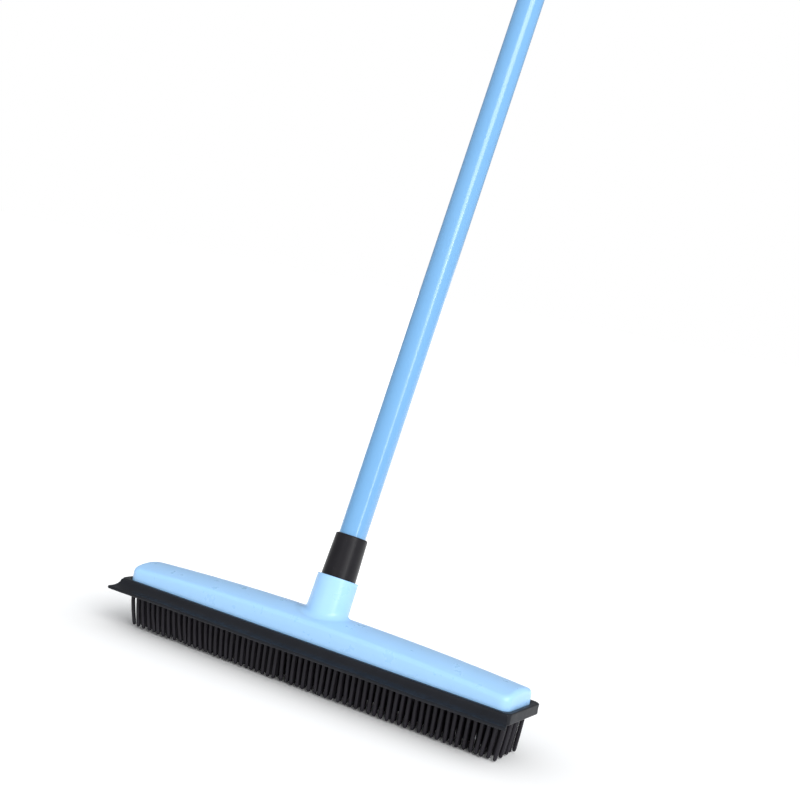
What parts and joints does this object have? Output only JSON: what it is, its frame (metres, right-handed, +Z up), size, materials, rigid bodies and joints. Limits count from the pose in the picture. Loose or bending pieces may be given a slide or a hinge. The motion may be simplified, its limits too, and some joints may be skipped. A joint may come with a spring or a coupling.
{
  "type": "carpet broom",
  "caption": "Rubber carpet broom: long head with rows of rubber bristles and a squeegee lip, and a handle that screws in and telescopes.",
  "frame": {"origin": "middle of the head on the plane of the bristle tips, at the tip of the middle bristle", "axes": "+X along the head, -Y the side of the squeegee lip, +Z up from the bristle tips; the handle leans back towards +Y"},
  "size_m": [0.3538, 0.2611, 0.8607],
  "materials": {
    "cover_plastic": "moulded polypropylene, satin gloss",
    "tube_paint": "smooth glossy coating on steel tube",
    "upper_steel": "drawn, lightly brushed",
    "screw_steel": "zinc plated",
    "rubber": "moulded, semi matte",
    "bristle_rubber": "moulded, semi matte",
    "grip_rubber": "soft touch, matte",
    "collar_plastic": "satin moulded",
    "inner_plastic": "plain moulded"
  },
  "bodies": {
    "head": {"head_cover": "cover_plastic", "base_plate": "inner_plastic", "cover_screws": "screw_steel", "rubber_body": "rubber", "squeegee_lip": "rubber", "bristle_row_1": "bristle_rubber", "bristle_row_2": "bristle_rubber", "bristle_row_3": "bristle_rubber", "bristle_row_4": "bristle_rubber", "bristle_row_5": "bristle_rubber", "bristle_row_6": "bristle_rubber", "bristle_row_7": "bristle_rubber"},
    "collar": {"threaded_collar": "collar_plastic"},
    "lower_handle": {"lower_tube": "tube_paint", "lock_collet": "collar_plastic"},
    "lock": {"lock_nut": "collar_plastic"},
    "glide": {"glide_plug": "inner_plastic"},
    "upper_handle": {"upper_tube": "upper_steel", "grip_sleeve": "grip_rubber", "end_cap": "collar_plastic"}
  },
  "joints": [
    {"name": "handle_rise", "type": "slide", "parent": "head", "child": "collar", "axis": [0, 0.2588, 0.9659], "range_m": [0, 0.025]},
    {"name": "handle_turn", "type": "hinge", "parent": "collar", "child": "lower_handle", "pos_m": [0, 0.01553, 0.09546], "axis": [0, 0.2588, 0.9659], "range_deg": [0, 1800]},
    {"name": "lock_turn", "type": "hinge", "parent": "lower_handle", "child": "lock", "pos_m": [0, 0.1696, 0.67047], "axis": [0, 0.2588, 0.9659], "range_deg": [0, 120]},
    {"name": "telescope", "type": "slide", "parent": "lower_handle", "child": "glide", "axis": [0, 0.2588, 0.9659], "range_m": [0, 0.455]},
    {"name": "upper_turn", "type": "hinge", "parent": "glide", "child": "upper_handle", "pos_m": [0, 0.21102, 0.82502], "axis": [0, 0.2588, 0.9659], "continuous": true}
  ],
  "couplings": [
    {"joint": "handle_turn", "follows": "handle_rise", "rad_per_m": 1256.6}
  ]
}
